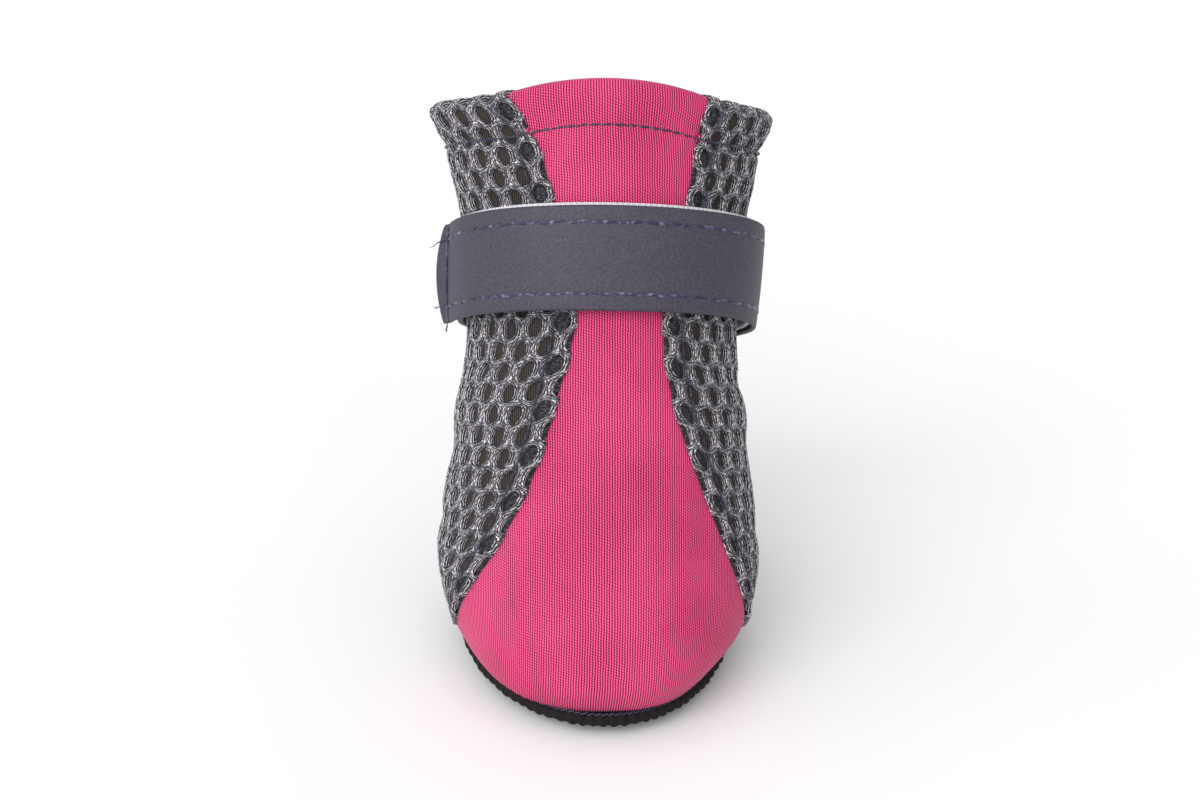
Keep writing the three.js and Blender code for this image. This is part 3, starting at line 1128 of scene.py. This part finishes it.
# The stitches in the groove beside each seam, down to where the mesh goes under the sole
def addSeamStitches(bm, side):
    drops = np.linspace(upper["hemStitchDrop"] + seamThread["top"], seamThread["lowest"], 500)
    inward = seamStrip["groove"] * stripWidth(1 - drops / (seamThread["lowest"] + 1)) - rollShift
    level, turn = placeOnFace(side + 0 * drops, lambda level: inward, drops)
    kept = drops < dropOf(0 * turn, turn) - 2
    line = clothPoint(level, turn, 0 * turn, seamThread["lift"])[kept]
    spots = evenPoints(line, seamThread["pitch"])
    outs = evenRows(outward(level, turn)[kept], len(spots))
    addStitches(bm, spots, outs, seamThread["length"], seamThread["radius"])


def makeUpperStitches():
    bm = bmesh.new()
    addHemStitches(bm)
    for side in (-1, 1):
        addSeamStitches(bm, side)
    return bm


addPiece("upperStitching", makeUpperStitches(), "thread")

# The strap and the tapes that it closes with
strap = {
    "width": 20,
    "thickness": 0.8,
    "frontGap": 1.0,
    "backGap": 1.95,
    "halfWidth": 30.7,
    "square": 2.15,
    "freeEnd": -0.239,
    "root": 0.5,
    "out": 1.35,
    "rowInset": 3.2,
    "endInset": 2.1,
    "threadPitch": 5.0,
    "tuck": 1.1,  # the strap is drawn in near its free end
    "sideTuck": 1.3,  # and so is its lower edge on the other side
    "sideAt": 88.0,
    "flare": 2.0,  # and its last few millimetres are bent out
    "crown": 0.25,  # the tape bulges a little along its middle
    "rowSink": 0.16,  # how deep each row of stitches pulls it in
    "endSink": 0.2,
    "edgeTurn": 0.12,
}
hookTape = {"thickness": 0.9, "above": 0.55, "belowInset": 1.2, "from": -0.2265, "to": 0.488}
loopBand = {
    "width": 17,
    "thickness": 1.2,
    "from": 0.45,
    "to": 0.79,
    "gap": -0.35,
    "tuck": 0.85,  # it is pressed to the mesh where the strap's free end lies on it
}


# A point of a straight tape round the neck: across is up from its middle line, away is out
def tapePoint(turn, across, away):
    foot, head = throughSections(levelOf("strap foot")), throughSections(levelOf("strap head"))

    def spot(column, side, gap):
        low, high = foot[column : column + 2], head[column : column + 2]
        up = unit(high - low)
        off = np.array([side * up[1], -side * up[0]])
        moved = (low + high) / 2 + up * np.asarray(across)[..., None]
        moved = moved + off * np.asarray(gap + away)[..., None]
        return np.moveaxis(moved, -1, 0)

    front, back = spot(0, -1, strap["frontGap"]), spot(2, 1, strap["backGap"])
    return ringPoint(front, back, strap["halfWidth"] + away, strap["square"], 0, turn)


def tapeLength(first, last, away):
    turns = np.linspace(first, last, 400)
    return lengthsAlong(tapePoint(turns, 0 * turns, away + 0 * turns)), turns


# Lays a tape between two turns and two heights. A shape function moves its points along
# it and up it, and says how far out they stand.
def layTape(first, last, low, high, away, shapeOff):
    lengths, turns = tapeLength(first, last, away)

    def layOut(across, up):
        height = low + (high - low) * up
        along, height, out = shapeOff(across * lengths[-1], height, lengths[-1])
        turn = np.interp(along, lengths, turns)
        return tapePoint(turn, height, away + out), np.stack([along, height], -1)

    return layOut


# How far out the strap lies, by the distance from its free end
def strapLift(along, height):
    bent = ramp(strap["endInset"] + 0.3 - along, 0, strap["endInset"])
    middle = 1 - 0.65 * (2 * height / strap["width"]) ** 2
    hanging = strap["sideTuck"] * bell(along - strap["sideAt"], 34)
    hanging = hanging * (0.5 - height / strap["width"])
    return strap["flare"] * bent * middle - strap["tuck"] * (1 - ease(along, 8, 30)) - hanging


def strapFaceShape(along, height, length):
    half = strap["width"] / 2
    fromEnd = along - strap["endInset"]
    rows = bell(np.abs(height) - (half - strap["rowInset"]), 0.6)
    dents = 0.5 + 0.5 * np.cos(2 * math.pi * fromEnd / strap["threadPitch"]) ** 5
    edge = ramp(np.abs(height), half - 0.8, half)
    wave = 0.18 * np.sin(along / 9.5) + 0.12 * np.sin(along / 4.1 + 1)
    out = strap["crown"] * (1 - (height / half) ** 2) - strap["rowSink"] * rows * dents
    out = out - strap["endSink"] * bell(fromEnd, 0.7) - strap["edgeTurn"] * edge**2
    out = out + 0.3 * wave * (height / half)
    # The cut end is a little frayed
    fray = np.where(along < 0.2, 0.22 * np.sin(height * 5.1) + 0.15 * np.sin(height * 11.3 + 2), 0)
    out = out + strapLift(along, height)
    return along + np.abs(fray), height * (1 + 0.004 * np.sin(along / 6)), out


def hookShape(along, height, length):
    behind = tapeLength(strap["freeEnd"], hookTape["from"], 0)[0][-1]
    return along, height, strapLift(along + behind, height)


def loopShape(along, height, length):
    return along, height, -loopBand["tuck"] * (1 - ease(length - along, 6, 28))


strapHalf, loopHalf = strap["width"] / 2, loopBand["width"] / 2
strapAway = strap["out"] + strap["thickness"]
layFace = layTape(
    strap["freeEnd"], strap["root"], -strapHalf, strapHalf, strapAway, strapFaceShape
)
layBack = layTape(
    hookTape["from"], hookTape["to"], hookTape["belowInset"] - strapHalf,
    strapHalf + hookTape["above"], hookTape["thickness"], hookShape,
)
layLoop = layTape(
    loopBand["from"], loopBand["to"], -loopHalf, loopHalf, loopBand["gap"], loopShape
)
for tapeName, bm, finish, node, thickness in (
    ("strapFace", mappedGrid(260, 36, layFace), "reflective_tape", "strap_band", strap["thickness"]),
    ("strapBack", mappedGrid(200, 20, layBack), "hook_tape", "strap_hook_tape", hookTape["thickness"]),
    ("loopTape", mappedGrid(100, 16, layLoop), "loop_tape", "loop_band", loopBand["thickness"]),
):
    addPiece(tapeName, bm, finish, (node,), thickness)

strapThread = {
    "pitch": strap["threadPitch"],
    "length": 4.9,
    "radius": 0.33,
    "lift": 0.14,
    "slant": 0.05,
    "endLength": 4.5,
    "rootInsets": (1.5, 9.5),  # a box of stitches holds the strap and the loop tape to the mesh
    "rootLength": 2.1,
    "tailLength": 0.6,
    "tailRadius": 0.16,
}
# Loose tails of thread at the free end, as along, height and out from the tape
threadTails = (
    ((2.2, 7.0, 0.1), (1.2, 6.7, 0.3), (0.3, 6.2, 0.5), (0.0, 5.5, 1.1), (0.0, 5.2, 1.7)),
    (
        (2.2, -8.8, 0.1), (2.1, -10.0, 0.3), (1.8, -11.1, 0.5),
        (2.4, -11.7, 0.7), (3.2, -11.5, 0.8), (3.4, -10.9, 0.5),
    ),
    ((0.4, -6.6, 0.1), (0.0, -6.9, 0.7), (0.0, -6.6, 1.3)),
)


def makeStrapStitches():
    bm = bmesh.new()
    lengths, turns = tapeLength(strap["freeEnd"], strap["root"], strapAway)
    half, radius = strapHalf, strapThread["radius"]

    def stitchLine(along, height, lift):
        out = strapAway + strapFaceShape(along, height, lengths[-1])[2] + lift
        turn = np.interp(along, lengths, turns)
        line = tapePoint(turn, height, out)
        return line, tapePoint(turn, height, out + 1) - line

    for sign in (-1, 1):
        along = np.arange(strap["endInset"], lengths[-1] - 1, strapThread["pitch"])
        height = np.full_like(along, sign * (half - strap["rowInset"]))
        line, outs = stitchLine(along, height, strapThread["lift"])
        addStitches(bm, line, outs, strapThread["length"], radius, strapThread["slant"] * sign)
    height = np.linspace(-half + 0.8, half - 0.8, 5)
    line, outs = stitchLine(np.full_like(height, strap["endInset"]), height, 0.1)
    addStitches(bm, line, outs, strapThread["endLength"], radius * 1.15)
    for tail in threadTails:
        steps, stops = np.linspace(0, len(tail) - 1, 14), range(len(tail))
        along, height, out = (np.interp(steps, stops, column) for column in zip(*tail))
        line, outs = stitchLine(along, height, out)
        addStitches(bm, line, outs, strapThread["tailLength"], strapThread["tailRadius"])
    for inset in strapThread["rootInsets"]:
        height = np.linspace(-half + 2, half - 2, 7)
        line, outs = stitchLine(np.full_like(height, lengths[-1] - inset), height, 0.2)
        addStitches(bm, line, outs, strapThread["rootLength"], radius)
    return bm


addPiece("strapStitching", makeStrapStitches(), "litThread")


# The sole: a soft sheet with a corded edge and small grip dots
soleLook = {
    "cordRadius": 1.35,
    "cordBumps": 86,
    "cordHeight": 1.75,
    "dotPitch": 4.2,
    "dotRadius": 1.15,
    "dotHeight": 0.5,
    "dotRows": 12,
    "dotColumns": 9,
    "dotMargin": 2.6,
    "sheetInset": 0.3,
    "toeFlat": 1.4,  # how much the toe's outline is drawn in on the right
    "toeFlatAt": 0.125,
    "toeFlatHalfTurn": 0.09,
}


def soleSpot(share, turn, inset=0.0):
    nearFlat = bell(turn - soleLook["toeFlatAt"], soleLook["toeFlatHalfTurn"])
    inset = inset + soleLook["toeFlat"] * nearFlat
    front = (sole["centreY"] - sole["halfLength"] + inset, 0)
    back = (sole["centreY"] + sole["halfLength"] - inset, 0)
    edge = ringPoint(front, back, sole["halfWidth"] - inset, sole["square"], 0, turn)
    centre = np.array([0, sole["centreY"], 0])
    point = centre + (edge - centre) * np.asarray(share)[..., None]
    point[..., 2] = soleLift(point[..., 0], point[..., 1])
    return point


# The sole's outline at its edge, with the way out from it
def soleRim(turn):
    share = np.ones_like(turn)
    step = soleSpot(share, turn + 1e-3) - soleSpot(share, turn - 1e-3)
    return soleSpot(share, turn), unit(np.cross(step, [0, 0, 1]))


# A sheet of the sole's shape: out along the underside, up the edge and back over the top
def laySheet(inset, bottom, top):
    steep = 2.2

    def layOut(around, over):
        share = np.clip(np.where(over < 0.5, over * steep, (1 - over) * steep), 0, 1)
        height = bottom + (top - bottom) * ramp(over, 1 / steep, 1 - 1 / steep)
        point = soleSpot(share, around, inset)
        point[..., 2] += height
        return point, point[..., :2].copy()

    return layOut


laySole = laySheet(soleLook["sheetInset"], soleLook["dotHeight"], sole["thickness"])
soleSheet = mappedGrid(120, 44, laySole)
bmesh.ops.recalc_face_normals(soleSheet, faces=soleSheet.faces)


def addDots(bm):
    pitch, margin, square = soleLook["dotPitch"], soleLook["dotMargin"], sole["square"]
    rows, columns = soleLook["dotRows"], soleLook["dotColumns"]
    size = Matrix.Diagonal((soleLook["dotRadius"], soleLook["dotRadius"], soleLook["dotHeight"], 1))
    for row in range(-rows, rows + 1):
        for column in range(-columns, columns + 1):
            x = (column + 0.5 * (row % 2)) * pitch
            y = sole["centreY"] + row * pitch * 0.866
            across = abs(x) / (sole["halfWidth"] - margin)
            along = abs(y - sole["centreY"]) / (sole["halfLength"] - margin)
            if across**square + along**square > 1:
                continue
            lift = float(soleLift(np.array(x), np.array(y)))
            place = Matrix.Translation((x, y, lift + soleLook["dotHeight"])) @ size
            bmesh.ops.create_uvsphere(bm, u_segments=10, v_segments=6, radius=1, matrix=place)


addDots(soleSheet)
addPiece("outsole", soleSheet, "sole_rubber", ("outsole",))


# The corded edge: its bumps lean, and drift so that no two are alike
def layCord(around, section):
    angle, turned = 2 * math.pi * section, 2 * math.pi * around
    drift = 0.35 * np.sin(9 * turned) + 0.3 * np.sin(14 * turned + 1)
    bumps = soleLook["cordBumps"] / 2 * turned + drift + 0.6 * np.sin(angle)
    twist = np.abs(np.sin(bumps)) ** 0.8
    radius = soleLook["cordRadius"] * (0.66 + 0.42 * twist + 0.06 * np.sin(23 * turned))
    centre, away = soleRim(around)
    point = centre + away * (radius * np.cos(angle) - 0.4)[..., None]
    point[..., 2] += soleLook["cordHeight"] + radius * np.sin(angle)
    return point, np.stack([around * 210, section * 8], -1)


soleCord = mappedGrid(soleLook["cordBumps"] * 7, 14, layCord)
addPiece("soleCord", soleCord, "sole_rubber")


# The overlock thread that shows between the upper and the corded edge
soleThread = {"pitch": 1.3, "length": 1.7, "radius": 0.2, "slant": 0.3, "out": 0.2, "above": 1.45}


def makeSoleStitches():
    bm = bmesh.new()
    edge, away = soleRim(np.linspace(0, 1, 400))
    line = edge + away * soleThread["out"]
    line[..., 2] += soleLook["cordHeight"] + soleThread["above"]
    spots = evenPoints(line, soleThread["pitch"])
    outs = evenRows(away, len(spots)) + np.array([0, 0, 0.8])
    addStitches(
        bm, spots, outs, soleThread["length"], soleThread["radius"], soleThread["slant"]
    )
    return bm


addPiece("soleStitching", makeSoleStitches(), "darkThread")

insole = {"inset": 2.7, "gap": 0.3, "thickness": 1.8}
insoleBottom = sole["thickness"] + insole["gap"]
layInsole = laySheet(insole["inset"], insoleBottom, insoleBottom + insole["thickness"])
insoleMesh = mappedGrid(96, 40, layInsole)
bmesh.ops.recalc_face_normals(insoleMesh, faces=insoleMesh.faces)
addPiece("insole", insoleMesh, "insole_fabric", ("insole",))
print("pieces ready")


# Floor and soft studio light. The lights are large and far away: where each stands, its
# strength, and how wide it looks
studio = {
    "floorSize": 4,
    "floorColor": (0.86, 0.86, 0.87, 1),
    "air": 0.47,
    "lights": (
        ("key", (-0.6, -1.0, 0.8), 1.85, 50),
        ("side", (-1.0, -0.2, 0.35), 0.75, 60),
        ("front", (0.1, -1.0, 0.4), 0.6, 60),
        ("top", (-0.1, 0.1, 1.0), 0.6, 60),
        ("rear", (0.1, 1.0, 0.7), 0.3, 60),
    ),
}


def makeFloor():
    bm = bmesh.new()
    bmesh.ops.create_grid(bm, x_segments=1, y_segments=1, size=studio["floorSize"])
    mesh = bpy.data.meshes.new("floor")
    bm.to_mesh(mesh)
    bm.free()
    floor = bpy.data.objects.new("floor", mesh)
    material = bpy.data.materials.new("floor")
    material.use_nodes = True
    shader = material.node_tree.nodes["Principled BSDF"]
    shader.inputs["Base Color"].default_value = studio["floorColor"]
    shader.inputs["Roughness"].default_value = 0.9
    mesh.materials.append(material)
    bpy.context.scene.collection.objects.link(floor)


def makeLight():
    world = bpy.data.worlds.new("studio")
    world.use_nodes = True
    air = world.node_tree.nodes["Background"]
    air.inputs["Color"].default_value = (1, 1, 1, 1)
    air.inputs["Strength"].default_value = studio["air"]
    bpy.context.scene.world = world
    for name, place, strength, spread in studio["lights"]:
        data = bpy.data.lights.new(name, "SUN")
        data.energy, data.angle = strength, math.radians(spread)
        lamp = bpy.data.objects.new(name, data)
        lamp.location = place
        lamp.rotation_mode = "QUATERNION"
        lamp.rotation_quaternion = (-Vector(place)).to_track_quat("-Z", "Y")
        bpy.context.scene.collection.objects.link(lamp)


makeFloor()
makeLight()
bpy.context.scene.view_settings.view_transform = "Standard"
print("studio ready")
